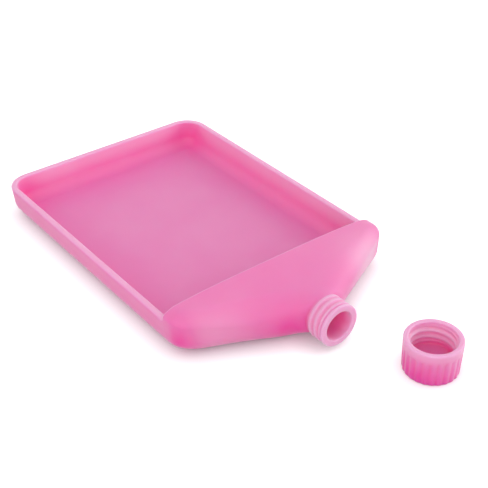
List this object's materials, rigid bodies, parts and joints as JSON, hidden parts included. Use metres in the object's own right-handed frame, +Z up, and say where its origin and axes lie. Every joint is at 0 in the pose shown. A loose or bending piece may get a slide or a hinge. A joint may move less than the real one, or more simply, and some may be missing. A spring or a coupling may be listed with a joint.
{
  "type": "bead funnel tray",
  "caption": "Shallow open tray that narrows under a low hood into a threaded pouring spout, with a fluted screw cap standing beside it.",
  "frame": {"origin": "middle of the open tray's flat underside, which lies on the table", "axes": "+Z up, +Y towards the tray's closed back wall, so the spout points along -Y, +X to the side where the cap stands"},
  "size_m": [0.0824, 0.1633, 0.0164],
  "materials": {
    "tray_plastic": "soft moulded polyethylene, pink right through, slightly translucent, satin",
    "cap_plastic": "soft moulded polyethylene, pink right through, slightly translucent, satin"
  },
  "bodies": {
    "tray": {"funnel_tray": "tray_plastic"},
    "cap": {"screw_cap": "cap_plastic"}
  },
  "joints": [
    {"name": "cap_lift", "type": "slide", "parent": "tray", "child": "cap", "axis": [0, 0, 1], "range_m": [0, 0.06]}
  ]
}
